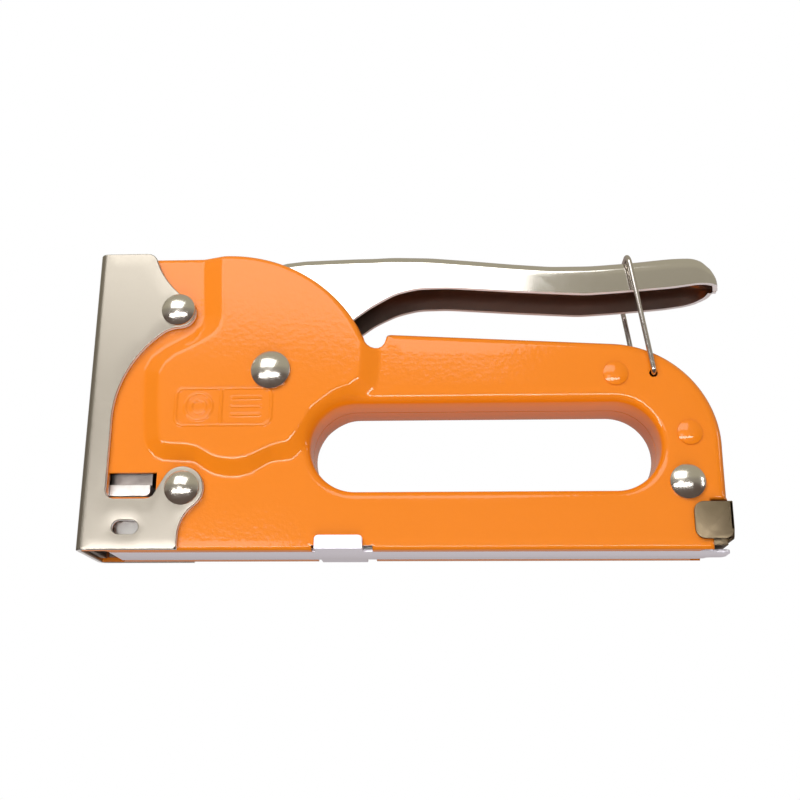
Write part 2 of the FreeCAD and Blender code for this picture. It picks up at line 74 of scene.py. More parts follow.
NOSE_UPPER = (20.0, 56.6)
NOSE_LOWER = (23.4, 13.8)
PIVOT = (42.5, 41.2)
REAR = (135.9, 14.9)
GRIP_RIVETS = ((121.4, 40.3), (137.2, 26.2))
RIVET_HOLE_R = 2.05
GRIP_HOLE_R = 1.6
BAIL_HOLE_R = 0.9
DIMPLE = (136.7, 34.6)
BAIL_PIVOT = (130.0, 40.3)
BAIL_TOP = (125.6, 69.5)

PLATE = 1.2
PLATE_HALF = 9.75
PLATE_BEND = 2.0

LEVER_HALF = 7.0
LEVER_GRIP_HALF = 7.55
LEVER_SHEET = 1.15
LEVER_CORNER = 2.6
LEVER_LEAST_DEPTH = 1.4
LEVER_FLARE_FROM, LEVER_FLARE_LENGTH = 64.0, 8.0
SOFT_WIDTH = 61
TAIL_X = 147.9


# ---------------------------------------------------------------- plane geometry

def arc(start, middle, end, step):
    """Points of the circle through three points, after the first, evenly spaced."""
    (ax, ay), (bx, by), (cx, cy) = start, middle, end
    d = 2 * (ax * (by - cy) + bx * (cy - ay) + cx * (ay - by))
    first_square, middle_square, last_square = ax * ax + ay * ay, bx * bx + by * by, cx * cx + cy * cy
    ux = (first_square * (by - cy) + middle_square * (cy - ay) + last_square * (ay - by)) / d
    uy = (first_square * (cx - bx) + middle_square * (ax - cx) + last_square * (bx - ax)) / d
    radius = math.hypot(ax - ux, ay - uy)
    first = math.atan2(ay - uy, ax - ux)
    mid = (math.atan2(by - uy, bx - ux) - first) % math.tau
    sweep = (math.atan2(cy - uy, cx - ux) - first) % math.tau
    if mid > sweep:
        sweep -= math.tau
    count = max(3, int(abs(sweep) * radius / step))
    turns = [first + sweep * i / count for i in range(1, count + 1)]
    return [(ux + radius * math.cos(turn), uy + radius * math.sin(turn)) for turn in turns]


def trace(start, steps, step=0.8, closed=True):
    """Evenly spaced points along straight edges (x, z) and arcs (xm, zm, x, z). A step may end with a
    dict of facts about that edge; the facts come back once for each segment."""
    points, facts, here = [start], [], start
    for item in list(steps) + ([start] if closed else []):
        fact = item[-1] if isinstance(item[-1], dict) else {}
        numbers = item[:-1] if isinstance(item[-1], dict) else item
        if len(numbers) == 4:
            new = arc(here, numbers[:2], numbers[2:], step)
        else:
            length = math.dist(here, numbers)
            if length < 1e-6:
                continue
            count = max(1, round(length / step))
            run, rise = numbers[0] - here[0], numbers[1] - here[1]
            new = [(here[0] + run * i / count, here[1] + rise * i / count) for i in range(1, count + 1)]
        points += new
        facts += [fact] * len(new)
        here = new[-1]
    if closed:
        points.pop()
    return np.array(points), facts


def circle(centre, radius, count=40):
    turn = np.arange(count) * math.tau / count
    return np.stack([centre[0] + radius * np.cos(turn), centre[1] + radius * np.sin(turn)], 1)


def distance(points, starts, ends):
    """Distance from each point to the nearest segment, and which segment that is."""
    best = np.full(len(points), 1e9)
    which = np.zeros(len(points), int)
    along = ends - starts
    square = (along ** 2).sum(1)
    square[square == 0] = 1
    for low in range(0, len(points), 4000):
        part = points[low:low + 4000]
        t = (((part[:, None] - starts[None]) * along[None]).sum(2) / square[None]).clip(0, 1)
        gap = np.linalg.norm(part[:, None] - (starts[None] + t[..., None] * along[None]), axis=2)
        which[low:low + 4000] = gap.argmin(1)
        best[low:low + 4000] = gap.min(1)
    return best, which


def inside(points, loop):
    """Which points are inside a closed loop."""
    result = np.zeros(len(points), bool)
    x, y = points[:, 0], points[:, 1]
    for (ax, ay), (bx, by) in zip(loop, np.roll(loop, -1, 0)):
        if ay == by:
            continue
        crosses = ((ay > y) != (by > y)) & (x < (bx - ax) * (y - ay) / (by - ay) + ax)
        result ^= crosses
    return result


def smooth(t):
    t = np.clip(t, 0, 1)
    return t * t * (3 - 2 * t)


class Plan:
    """A flat region with holes, cut into triangles, with rings of points along its rounded edges."""

    def __init__(self, outer, holes, rounds, patches):
        """rounds: one radius per segment for each loop. patches: (low x, high x, low z, high z, spacing)."""
        self.loops = [outer] + holes
        self.starts = np.concatenate(self.loops)
        self.ends = np.concatenate([np.roll(loop, -1, 0) for loop in self.loops])
        self.rounds = np.concatenate(rounds)
        rings = []
        for number, loop in enumerate(self.loops):
            edge = np.roll(loop, -1, 0) - np.roll(loop, 1, 0)
            normal = np.stack([-edge[:, 1], edge[:, 0]], 1)
            normal /= np.linalg.norm(normal, axis=1)[:, None] + 1e-9
            area = (loop[:, 0] * np.roll(loop[:, 1], -1) - np.roll(loop[:, 0], -1) * loop[:, 1]).sum()
            if (area > 0) != (number == 0):
                normal = -normal
            radius = rounds[number]
            for share in (0.05, 0.19, 0.41, 0.69, 1.0):
                ring = loop + normal * (radius * share)[:, None]
                keep = radius > 0
                gap, near = distance(ring, self.starts, self.ends)
                keep &= gap > radius * share * 0.96
                rings.append(ring[keep])
        field = []
        for low_x, high_x, low_z, high_z, spacing in patches:
            xs = np.arange(low_x, high_x, spacing)
            zs = np.arange(low_z, high_z, spacing * 0.87)
            gx, gz = np.meshgrid(xs, zs)
            gx = gx + (np.arange(len(zs)) % 2)[:, None] * spacing / 2
            cells = np.stack([gx.ravel(), gz.ravel()], 1)
            gap, near = distance(cells, self.starts, self.ends)
            cells = cells[gap > self.rounds[near] + spacing * 0.45]
            for other in patches[patches.index((low_x, high_x, low_z, high_z, spacing)) + 1:]:
                out = ((cells[:, 0] < other[0]) | (cells[:, 0] > other[1])
                       | (cells[:, 1] < other[2]) | (cells[:, 1] > other[3]))
                cells = cells[out]
            field.append(cells)
        free = np.concatenate(rings + field)
        keep = inside(free, outer)
        for hole in holes:
            keep &= ~inside(free, hole)
        points = np.concatenate([self.starts, free[keep]])
        edges, first = [], 0
        for loop in self.loops:
            edges += [(first + i, first + (i + 1) % len(loop)) for i in range(len(loop))]
            first += len(loop)
        found = delaunay_2d_cdt([Vector(p) for p in points], edges, [], 0, 1e-5)
        self.points = np.array([tuple(v) for v in found[0]])
        triangles = np.array(found[2])
        middle = self.points[triangles].mean(1)
        keep = inside(middle, outer)
        for hole in holes:
            keep &= ~inside(middle, hole)
        triangles = triangles[keep]
        corner = self.points[triangles]
        turn = np.cross(corner[:, 1] - corner[:, 0], corner[:, 2] - corner[:, 0])
        triangles[turn < 0] = triangles[turn < 0][:, ::-1]
        self.triangles = triangles[np.abs(turn) > 1e-7]
        back = {}
        for new, olds in enumerate(found[3]):
            for old in olds:
                back[old] = new
        self.borders, first = [], 0
        for loop in self.loops:
            self.borders.append([back[first + i] for i in range(len(loop))])
            first += len(loop)
        self.gap, self.near = distance(self.points, self.starts, self.ends)

    def edge_drop(self):
        """How far the rounded edges fall away from the face, at each point."""
        radius = self.rounds[self.near]
        ratio = np.where(radius > 0, 1 - np.clip(self.gap / np.maximum(radius, 1e-6), 0, 1), 0)
        return radius * (1 - np.sqrt(np.clip(1 - ratio ** 2, 0, 1)))


# ---------------------------------------------------------------- meshes

def place(points):
    """Working millimetres to the frame's metres."""
    points = np.asarray(points, float)
    return (points - np.array([HALF_LENGTH, 0, 0])) * MM


def make(name, points, faces, material, smooth_angle=40):
    """A mesh object from working points."""
    mesh = bpy.data.meshes.new(name)
    mesh.from_pydata([tuple(p) for p in place(points)], [], [tuple(int(i) for i in f) for f in faces])
    mesh.validate()
    materials = material if isinstance(material, (list, tuple)) else [material]
    for item in materials:
        mesh.materials.append(item)
    piece = bpy.data.objects.new(name, mesh)
    bpy.context.scene.collection.objects.link(piece)
    finish_mesh(mesh, smooth_angle)
    return piece


def finish_mesh(mesh, smooth_angle):
    mesh.shade_smooth()
    mesh.set_sharp_from_angle(angle=math.radians(smooth_angle))


def bake(piece, smooth_angle=40):
    """Replaces a piece's mesh by what its modifiers make of it."""
    bpy.context.view_layer.update()
    depsgraph = bpy.context.evaluated_depsgraph_get()
    mesh = bpy.data.meshes.new_from_object(piece.evaluated_get(depsgraph))
    piece.modifiers.clear()
    piece.data = mesh
    finish_mesh(mesh, smooth_angle)
    return piece


def thicken(piece, thickness, rim_slot=0, even=False):
    change = piece.modifiers.new("thickness", "SOLIDIFY")
    change.thickness = thickness * MM
    change.offset = -1
    change.use_even_offset = even
    change.use_quality_normals = True
    change.material_offset_rim = rim_slot
    return piece


def bevel(piece, width, segments=2, angle=40):
    change = piece.modifiers.new("bevel", "BEVEL")
    change.width = width * MM
    change.segments = segments
    change.limit_method = "ANGLE"
    change.angle_limit = math.radians(angle)
    change.use_clamp_overlap = True
    return piece


def outward(piece):
    """Points every face's normal out of the piece."""
    bpy.ops.object.select_all(action="DESELECT")
    bpy.context.view_layer.objects.active = piece
    piece.select_set(True)
    bpy.ops.object.mode_set(mode="EDIT")
    bpy.ops.mesh.select_all(action="SELECT")
    bpy.ops.mesh.normals_make_consistent(inside=False)
    bpy.ops.object.mode_set(mode="OBJECT")
    return piece


def hand_over(piece, body, slot, *nodes):
    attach(piece, body)
    if nodes:
        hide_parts(*nodes)
    return piece


def mirrored(points, faces):
    """The other side's points and faces."""
    return np.asarray(points) * np.array([1, -1, 1]), [tuple(f)[::-1] for f in faces]


# ---------------------------------------------------------------- materials

def shader(name, base, metallic, roughness, coat=0.0, coat_roughness=0.1):
    material = bpy.data.materials.new(name)
    material.use_nodes = True
    tree = material.node_tree
    surface = tree.nodes["Principled BSDF"]
    surface.inputs["Base Color"].default_value = (*base, 1)
    surface.inputs["Metallic"].default_value = metallic
    surface.inputs["Roughness"].default_value = roughness
    surface.inputs["Coat Weight"].default_value = coat
    surface.inputs["Coat Roughness"].default_value = coat_roughness
    return material, tree, surface


def noise(tree, scale, detail=2.0, stretch=(1, 1, 1)):
    """A noise in the piece's own space, stretched along an axis if wanted."""
    coordinates = tree.nodes.new("ShaderNodeTexCoord")
    mapping = tree.nodes.new("ShaderNodeMapping")
    mapping.inputs["Scale"].default_value = stretch
    pattern = tree.nodes.new("ShaderNodeTexNoise")
    pattern.inputs["Scale"].default_value = scale
    pattern.inputs["Detail"].default_value = detail
    tree.links.new(coordinates.outputs["Object"], mapping.inputs["Vector"])
    tree.links.new(mapping.outputs["Vector"], pattern.inputs["Vector"])
    return pattern.outputs["Fac"]


def vary(tree, surface, socket, pattern, low, high):
    spread = tree.nodes.new("ShaderNodeMapRange")
    spread.inputs["From Min"].default_value = 0.3
    spread.inputs["From Max"].default_value = 0.7
    spread.inputs["To Min"].default_value = low
    spread.inputs["To Max"].default_value = high
    tree.links.new(pattern, spread.inputs["Value"])
    tree.links.new(spread.outputs["Result"], surface.inputs[socket])


def relief(tree, surface, pattern, strength, depth=0.00005):
    bump = tree.nodes.new("ShaderNodeBump")
    bump.inputs["Strength"].default_value = strength
    bump.inputs["Distance"].default_value = depth
    tree.links.new(pattern, bump.inputs["Height"])
    tree.links.new(bump.outputs["Normal"], surface.inputs["Normal"])
    if surface.inputs["Coat Weight"].default_value > 0:
        tree.links.new(bump.outputs["Normal"], surface.inputs["Coat Normal"])


def metal(name, base, roughness, grain, grain_scale=900, stretch=(1, 1, 1)):
    material, tree, surface = shader(name, base, 1.0, roughness)
    pattern = noise(tree, grain_scale, 3.0, stretch)
    vary(tree, surface, "Roughness", pattern, roughness * (1 - grain), roughness * (1 + grain))
    relief(tree, surface, pattern, 0.12 * grain)
    return material


def plated(name, base, metallic, roughness):
    """Bright plating whose fine grain scatters part of the light; its near-white copies for the cut edges of
    the nose plate and the lever are painted highlights.
    """
    material, tree, surface = shader(name, base, metallic, roughness)
    relief(tree, surface, noise(tree, 900, 3.0, (0.3, 1, 1)), 0.05)
    return material


def paint(name, base, roughness=0.42):
    material, tree, surface = shader(name, base, 0.0, roughness, 0.9, 0.08)
    surface.inputs["Specular IOR Level"].default_value = 0.12
    relief(tree, surface, noise(tree, 1100, 2.0), 0.28, 0.0001)
    return material


orange = paint("orange_enamel", (0.78, 0.200, 0.002))
# The shells' inner faces are a dark copy of the orange enamel: painted shade for the inside of the body.
shell_inside_painted_shade = shader("shell_inside_painted_shade", (0.16, 0.045, 0.012), 0.0, 0.7)[0]
nickel = metal("nose_nickel", (0.41, 0.375, 0.325), 0.33, 0.09, 1900)
# The nose plate's cut edges are a near-white copy of the nickel: a painted highlight on the rims of the plate
# and its holes.
nickel_edge_painted_highlight = plated("nose_nickel_edge", (0.95, 0.94, 0.93), 0.35, 0.3)
chrome = metal("rivet_chrome", (0.80, 0.76, 0.70), 0.2, 0.2, 900)
lever_chrome = metal("lever_chrome", (0.82, 0.79, 0.75), 0.1, 0.15, 500)
# The lever's cut edges are a near-white, partly diffuse copy of its chrome: a painted highlight along the
# rim.
lever_edge_painted_highlight = plated("lever_edge_painted_highlight", (0.95, 0.92, 0.94), 0.3, 0.4)
# The lever's inner faces are a dark brown copy of its chrome: painted shade inside the channel.
lever_inside_painted_shade = metal("lever_inside_painted_shade", (0.38, 0.29, 0.25), 0.3, 0.05, 700)
wire = metal("bail_wire", (0.66, 0.62, 0.60), 0.2, 0.3, 900)
zinc = plated("rail_zinc", (0.92, 0.89, 0.98), 0.42, 0.36)
clip_steel = metal("clip_steel", (0.23, 0.18, 0.115), 0.42, 0.2, 900)
# The plunger block's near-black steel is painted shade for its recess behind the nose window; the foot keeps
# a lighter steel.
plunger_block_painted_shade = metal("plunger_steel", (0.16, 0.14, 0.13), 0.38, 0.3, 600)
foot_steel = metal("plunger_foot", (0.66, 0.65, 0.64), 0.5, 0.3, 900)
inner_steel = metal("inner_steel", (0.34, 0.33, 0.32), 0.4, 0.3, 600)
spring_steel = metal("spring_steel", (0.40, 0.39, 0.38), 0.28, 0.2, 900)
rubber, rubber_tree, rubber_surface = shader("bumper_rubber", (0.03, 0.03, 0.03), 0.0, 0.7)
relief(rubber_tree, rubber_surface, noise(rubber_tree, 500), 0.3)


# ---------------------------------------------------------------- shells

DOME_FOOT = [(24.3, 72.0), (24.4, 66.0), (25.2, 55.5), (24.6, 53.2), (22.7, 51.2), (17.0, 48.0),
             (13.8, 45.5), (12.3, 42.4), (12.6, 34.0), (13.4, 25.3), (14.3, 23.0), (15.8, 21.3),
             (18.2, 20.3), (22.4, 20.1), (25.4, 19.9), (27.3, 18.6), (29.8, 17.1), (32.9, 16.4),
             (36.2, 16.4), (39.0, 17.2), (41.4, 18.8), (43.4, 19.9), (48.1, 20.2), (50.4, 22.4),
             (54.5, 30.0), (60.0, 33.7), (64.5, 35.0), (67.0, 37.0), (67.6, 40.0), (67.8, 44.0),
             (67.8, 49.0)]
DOME_BROW = [(30.5, 72.0), (30.6, 66.0), (31.1, 54.5), (30.4, 51.6), (28.7, 49.7), (24.4, 47.3), (20.0, 45.2),
             (17.9, 43.3), (16.8, 41.0), (17.1, 33.0), (17.9, 26.0), (18.8, 24.7), (20.4, 24.3), (23.7, 24.2),
             (26.4, 23.6), (28.4, 22.5), (30.2, 21.4), (32.3, 20.9), (35.0, 20.7), (37.4, 21.1), (40.4, 22.4),
             (43.2, 23.8), (46.2, 24.6), (48.4, 27.0), (51.4, 32.4), (56.4, 36.6), (60.2, 38.0), (62.2, 40.0),
             (62.8, 43.0), (62.8, 49.0)]

BADGE_X = (21.0, 42.9)
BADGE_Z = (28.3, 37.0)
BADGE_CORNER = 1.8
BADGE_LINE = 0.28
BADGE_RISE = 0.22


def shell_outline():
    """Side outline of a shell; each edge says how round it is and where its flange ends."""
    seam = {"flange": SEAM_Y}
    run, drop = 63.7 - 31.0, SHELL_TOP - 49.3
    radius = (run ** 2 + drop ** 2) / (2 * drop)
    half_turn = math.asin(run / radius) / 2
    crown_mid = (31.0 + radius * math.sin(half_turn), SHELL_TOP - radius * (1 - math.cos(half_turn)))
    bar = {"round": BAR_ROUND, **seam}
    sill = {"round": BOTTOM_ROUND, "flange": MOUTH_Y}
    lip = {"round": BOTTOM_ROUND, "flange": LIP_Y}
    notch = {"round": 0.8, **seam}
    plain = {"round": 0.0}
    steps = [
        (6.5, 0, sill), (52.7, 0, lip), (52.7, 1.0, plain), (66.3, 1.0, plain), (66.3, 0, plain),
        (138.8, 0, lip), (140.8, 0, sill), (140.8, 10.8, sill), (144.4, 10.8, sill), (144.4, 22.5, bar),
        (137.6, 40.5, 121.5, 48.0, bar), (69.2, 50.9, bar), (68.7, 49.2, notch),
        (66.3, 47.1, 63.7, 49.3, notch),
        (*crown_mid, 31.0, SHELL_TOP, {"round": CROWN_ROUND, "flange": MOUTH_Y}),
        (FRONT_X, SHELL_TOP, {"round": CROWN_ROUND, **seam}), (FRONT_X, 0, plain)]
    points, facts = trace((FRONT_X, 0), steps, closed=False)
    return points[:-1], facts


def opening_outline():
    middle, end_r = 23.6, 10.3
    front, rear = 51.8 + end_r, 130.9 - end_r
    return trace((front, 13.3), [(51.8, middle, front, 33.9), (rear, 33.9), (130.9, middle, rear, 13.3)])[0]


def badge(points):
    """Height of the plain raised badge: a rounded frame, a divider, a ring and three bars."""
    x, z = points[:, 0], points[:, 1]
    cx, cz = sum(BADGE_X) / 2, sum(BADGE_Z) / 2
    half_x, half_z = (BADGE_X[1] - BADGE_X[0]) / 2, (BADGE_Z[1] - BADGE_Z[0]) / 2
    qx, qz = np.abs(x - cx) - half_x + BADGE_CORNER, np.abs(z - cz) - half_z + BADGE_CORNER
    frame_gap = np.abs(np.hypot(np.maximum(qx, 0), np.maximum(qz, 0)) + np.minimum(np.maximum(qx, qz), 0)
                       - BADGE_CORNER)
    within = (qx < BADGE_CORNER) & (qz < BADGE_CORNER)
    split = np.where(within, np.abs(x - 31.4), 9)
    centre = np.hypot(x - 26.2, z - cz)
    rings = np.minimum(np.abs(centre - 3.1), np.abs(centre - 1.6))
    gap = np.minimum(np.minimum(frame_gap, split), rings)
    for level in (-2.0, 0.0, 2.0):
        bar = np.hypot(np.maximum(np.abs(x - 37.1) - 3.2, 0), z - cz - level)
        gap = np.minimum(gap, bar)
    return BADGE_RISE * smooth(1.6 - gap / BADGE_LINE)


def ramp(share):
    """From 0 to 1 in a straight line that is rounded over at both ends."""
    turn = 0.16
    steep = 1 / (1 - turn)
    low, high = share ** 2 * steep / (2 * turn), 1 - (1 - share) ** 2 * steep / (2 * turn)
    return np.where(share < turn, low, np.where(share > 1 - turn, high, (share - turn / 2) * steep))


def shell_surface():
    outer, facts = shell_outline()
    facts = facts[:len(outer)]
    holes = [opening_outline()]
    hole_rounds = [np.full(len(holes[0]), RIM_ROUND)]
    hole_flanges = [SEAM_Y]
    for centre in (PIVOT, NOSE_UPPER, NOSE_LOWER, REAR):
        holes.append(circle(centre, RIVET_HOLE_R))
    for centre in GRIP_RIVETS:
        holes.append(circle(centre, GRIP_HOLE_R, 32))
    holes.append(circle(BAIL_PIVOT, BAIL_HOLE_R, 28))
    for hole in holes[1:]:
        hole_rounds.append(np.full(len(hole), 0.0))
        hole_flanges.append(None)
    hole_rounds[-1][:] = 0.25
    window = trace((6.2, 12.0), [(17.2, 12.0), (17.2, 17.7), (6.2, 17.7)])[0]
    slot = trace((9.7, 3.1), [(12.5, 3.1), (14.4, 5.0, 12.5, 6.9), (9.7, 6.9),
                              (7.8, 5.0, 9.7, 3.1)], 0.5)[0]
    for hole in (window, slot):
        holes.append(hole)
        hole_rounds.append(np.full(len(hole), 0.0))
        hole_flanges.append(None)
    rounds = [np.array([fact.get("round", 0.0) for fact in facts])] + hole_rounds
    patches = [(0, 146, 0, 72, 2.6), (10.5, 70, 14, 71, 0.5), (20.2, 43.7, 27.5, 37.8, 0.2)]
    plan = Plan(outer, holes, rounds, patches)
    foot, brow = np.array(DOME_FOOT), np.array(DOME_BROW)
    to_foot, _ = distance(plan.points, foot[:-1], foot[1:])
    to_brow, _ = distance(plan.points, brow[:-1], brow[1:])
    in_foot = inside(plan.points, np.concatenate([foot, [(67.8, 60), (67.8, 80), (24.3, 80)]]))
    in_brow = inside(plan.points, np.concatenate([brow, [(62.8, 60), (62.8, 80), (30.5, 80)]]))
    share = np.where(in_brow, 1.0, np.where(in_foot, to_foot / (to_foot + to_brow + 1e-9), 0.0))
    height = BASE_HALF + DOME_RISE * ramp(share) + badge(plan.points)
    bump = np.hypot(plan.points[:, 0] - DIMPLE[0], plan.points[:, 1] - DIMPLE[1])
    height = height + 0.35 * smooth(1.4 - bump / 0.9)
    depth = height - plan.edge_drop()
    points = np.stack([plan.points[:, 0], -depth, plan.points[:, 1]], 1)
    faces = [tuple(t) for t in plan.triangles]
    points = list(map(tuple, points))
    flange_ends = [[fact.get("flange") for fact in facts]]
    flange_ends += [[end] * len(hole) for end, hole in zip(hole_flanges, holes)]
    for border, ends in zip(plan.borders, flange_ends):
        before = ends[-1:] + ends[:-1]
        levels = {}
        for index, end, last in zip(border, ends, before):
            known = [e for e in (end, last) if e is not None]
            if not known:
                continue
            x, y, z = points[index]
            stop = -max(known)
            row = [index]
            for share in (0.5, 1.0):
                points.append((x, y + (stop - y) * share, z))
                row.append(len(points) - 1)
            levels[index] = row
        for i, index in enumerate(border):
            after = border[(i + 1) % len(border)]
            if ends[i] is None or index not in levels or after not in levels:
                continue
            for k in range(2):
                a, b = levels[index][k], levels[after][k]
                c, d = levels[after][k + 1], levels[index][k + 1]
                faces.append((b, a, d, c))
    return np.array(points), faces


shell_points, shell_faces = shell_surface()
for side_name, body_points, body_faces in (("left", shell_points, shell_faces),
                                           ("right", *mirrored(shell_points, shell_faces))):
    shell = make(side_name + "_shell_skin", body_points, body_faces, [orange, shell_inside_painted_shade])
    thicken(shell, SHEET)
    # The inner faces take the dark painted-shade copy of the enamel.
    shell.modifiers["thickness"].material_offset = 1
    bake(shell, 38)
    hand_over(shell, "frame", "orange_enamel", side_name + "_shell")


# ---------------------------------------------------------------- nose plate

def plate_surface():
    """The nose plate unrolled: distance from its middle along the sheet, and height."""
    flat_half = PLATE_HALF - PLATE_BEND
    bend = PLATE_BEND * math.pi / 2

    def unroll(x):
        return flat_half + bend + x - PLATE_BEND

    side, _ = trace((PLATE_BEND, 0), [
        (22.9, 0), (22.9, 3.0), (23.9, 7.2, 26.3, 10.0), (28.2, 14.2, 25.2, 18.4), (22.0, 18.7, 19.2, 16.5),
        (17.3, 13.0), (16.5, 11.9, 15.2, 11.5), (8.0, 11.5), (6.5, 12.1, 6.0, 13.5), (6.0, 29.0),
        (9.0, 42.3, 17.0, 51.4), (18.6, 52.1, 20.6, 52.4), (24.1, 56.2, 22.2, 59.2), (17.5, 63.3, 14.1, 69.1),
        (13.1, 70.8, 11.4, 71.3), (PLATE_BEND, 71.3)], 0.9, closed=False)
    near = np.stack([unroll(side[:, 0]), side[:, 1]], 1)
    edge_s = near[0, 0]
    bottom = [(s, 0.0) for s in np.linspace(-edge_s, edge_s, 40)[1:-1]]
    top = [(-s, 71.3) for s, _ in bottom]
    far = near[::-1] * np.array([-1, 1])
    outer = np.concatenate([near, top, far, bottom])
    slot = trace((9.7, 3.4), [(12.5, 3.4), (14.1, 5.0, 12.5, 6.6), (9.7, 6.6), (8.1, 5.0, 9.7, 3.4)], 0.5)[0]
    slot = np.stack([unroll(slot[:, 0]), slot[:, 1]], 1)
    holes = [slot, slot * np.array([-1, 1])]
    for centre in (NOSE_UPPER, NOSE_LOWER):
        hole = circle((unroll(centre[0]), centre[1]), RIVET_HOLE_R)
        holes += [hole, hole * np.array([-1, 1])]
    rounds = [np.full(len(loop), 0.22) for loop in [outer] + holes]
    reach = unroll(29)
    patches = [(-reach, reach, 0, 72, 3.0), (-edge_s - 0.6, -flat_half + 0.6, 0, 72, 0.55),
               (flat_half - 0.6, edge_s + 0.6, 0, 72, 0.55)]
    plan = Plan(outer, holes, rounds, patches)
    s, z, sink = plan.points[:, 0], plan.points[:, 1], plan.edge_drop()
    sign = np.where(s < 0, 1.0, -1.0)
    far_s = np.abs(s)
    angle = np.clip((far_s - flat_half) / PLATE_BEND, 0, math.pi / 2)

    def bent(depth):
        """The sheet's points at this depth below its outer face."""
        past = np.where(far_s > edge_s, far_s - edge_s, 0)
        reach_r = PLATE_BEND - depth
        x = PLATE_BEND - reach_r * np.cos(angle) + past
        y = np.where(far_s > flat_half, flat_half + reach_r * np.sin(angle), far_s)
        return np.stack([x, sign * y, z], 1)

    return closed_sheet(plan, bent(sink), bent(PLATE - 0.02 - sink))


def closed_sheet(plan, outer, inner):
    """Both faces of a sheet and its cut edges: points, faces and each face's material."""
    count = len(outer)
    faces = [tuple(t) for t in plan.triangles] + [tuple(t[::-1] + count) for t in plan.triangles]
    slots = [0] * len(faces)
    for border in plan.borders:
        for here, after in zip(border, border[1:] + border[:1]):
            faces.append((after, here, here + count, after + count))
            slots.append(1)
    return np.concatenate([outer, inner]), faces, slots


plate_points, plate_faces, plate_slots = plate_surface()
plate = make("nose_plate_sheet", plate_points, plate_faces, [nickel, nickel_edge_painted_highlight])
# Slot 1, the cut edges, is the near-white painted-highlight copy of the nickel.
plate.data.polygons.foreach_set("material_index", plate_slots)
hand_over(outward(plate), "frame", "nose_steel", "nose_plate")


# ---------------------------------------------------------------- rivets

def lathe(profile, centre, face_y, turns=64):
    """Points and faces of both heads and the shank of a rivet, from (radius, height) pairs."""
    points, faces = [], []
    for side in (-1, 1):
        first = len(points)
        for radius, rise in profile:
            for k in range(turns):
                turn = math.tau * k / turns
                points.append((centre[0] + radius * math.cos(turn), side * (face_y + rise),
                               centre[1] + radius * math.sin(turn)))
        for row in range(len(profile) - 1):
            for k in range(turns):
                a, b = first + row * turns + k, first + row * turns + (k + 1) % turns
                c, d = b + turns, a + turns
                faces.append((a, b, c, d) if side < 0 else (d, c, b, a))
        points.append((centre[0], side * (face_y + profile[-1][1]), centre[1]))
        last = first + (len(profile) - 1) * turns
        for k in range(turns):
            a, b = last + k, last + (k + 1) % turns
            faces.append((a, b, len(points) - 1) if side < 0 else (b, a, len(points) - 1))
    half = len(points) // 2
    for k in range(turns):
        a, b = k, (k + 1) % turns
        faces.append((b, a, half + a, half + b))
    return points, faces


def rivet_profile(shank_r, head_r, head_h):
    """Shank, the underside of the head, a small rolled edge and a low dome."""
    edge = 0.28 * head_h
    profile = [(shank_r, 0.04), (head_r - 0.12, 0.04), (head_r - 0.03, 0.1), (head_r, 0.2), (head_r, edge)]
    rise = head_h - edge
    ball = (head_r ** 2 + rise ** 2) / (2 * rise)
    steps = 14
    for k in range(1, steps):
        radius = head_r * math.cos(math.pi / 2 * k / steps)
        profile.append((radius, edge + math.sqrt(ball ** 2 - radius ** 2) - ball + rise))
    return profile


def rivet(name, places, shank_r, head_r, head_h, face_y, material):
    points, faces = [], []
    for centre in places:
        more_points, more_faces = lathe(rivet_profile(shank_r, head_r, head_h), centre, face_y)
        faces += [tuple(i + len(points) for i in face) for face in more_faces]
        points += more_points
    return make(name, points, faces, material, 50)


hand_over(rivet("nose_rivet_upper_head", [NOSE_UPPER], 2.0, 3.9, 2.0, PLATE_HALF, chrome),
          "frame", "rivet_chrome", "nose_rivet_upper")
hand_over(rivet("nose_rivet_lower_head", [NOSE_LOWER], 2.0, 3.9, 2.0, PLATE_HALF, chrome),
          "frame", "rivet_chrome", "nose_rivet_lower")
hand_over(rivet("pivot_rivet_head", [PIVOT], 2.0, 4.5, 2.28, 10.4, chrome),
          "frame", "rivet_chrome", "pivot_rivet")
hand_over(rivet("rear_rivet_head", [REAR], 2.0, 3.9, 2.0, BASE_HALF, chrome),
          "frame", "rivet_chrome", "rear_rivet")
hand_over(rivet("grip_rivet_heads", GRIP_RIVETS, 1.5, 2.8, 0.9, BASE_HALF, orange),
          "frame", "orange_enamel", "grip_rivets")


# ---------------------------------------------------------------- lever

LEVER_TOP = [(17.0, 38.5), (17.4, 40.0), (20.4, 41.0), (33.4, 46.6), (35.6, 54.0), (41.5, 68.6), (43.9, 70.2),
             (49.0, 70.8), (54.9, 71.0), (62.0, 71.2), (69.4, 71.2), (79.1, 70.9), (88.7, 70.0), (98.3, 69.0),
             (107.8, 68.2), (117.3, 68.2), (126.1, 68.8), (136.3, 69.8), (141.0, 69.9), (143.3, 69.4),
             (145.6, 67.9), (147.2, 66.0), (148.0, 64.6)]
LEVER_LOW = [(17.0, 38.4), (17.7, 36.9), (19.6, 36.1), (36.0, 36.5), (39.0, 34.6), (42.6, 33.9), (46.5, 35.0),
             (49.0, 37.9), (56.5, 50.8), (61.1, 55.0), (65.3, 58.2), (70.8, 61.1), (76.2, 62.4), (83.5, 62.5),
             (100.3, 61.3), (115.5, 60.4), (123.9, 60.9), (136.3, 61.9), (143.8, 63.0), (146.6, 63.6),
             (148.0, 64.55)]


def curve_height(table, x):
    """Height at x, in straight lines between a table's (x, z)."""
    xs, zs = np.array(table).T
    return np.interp(x, xs, zs)


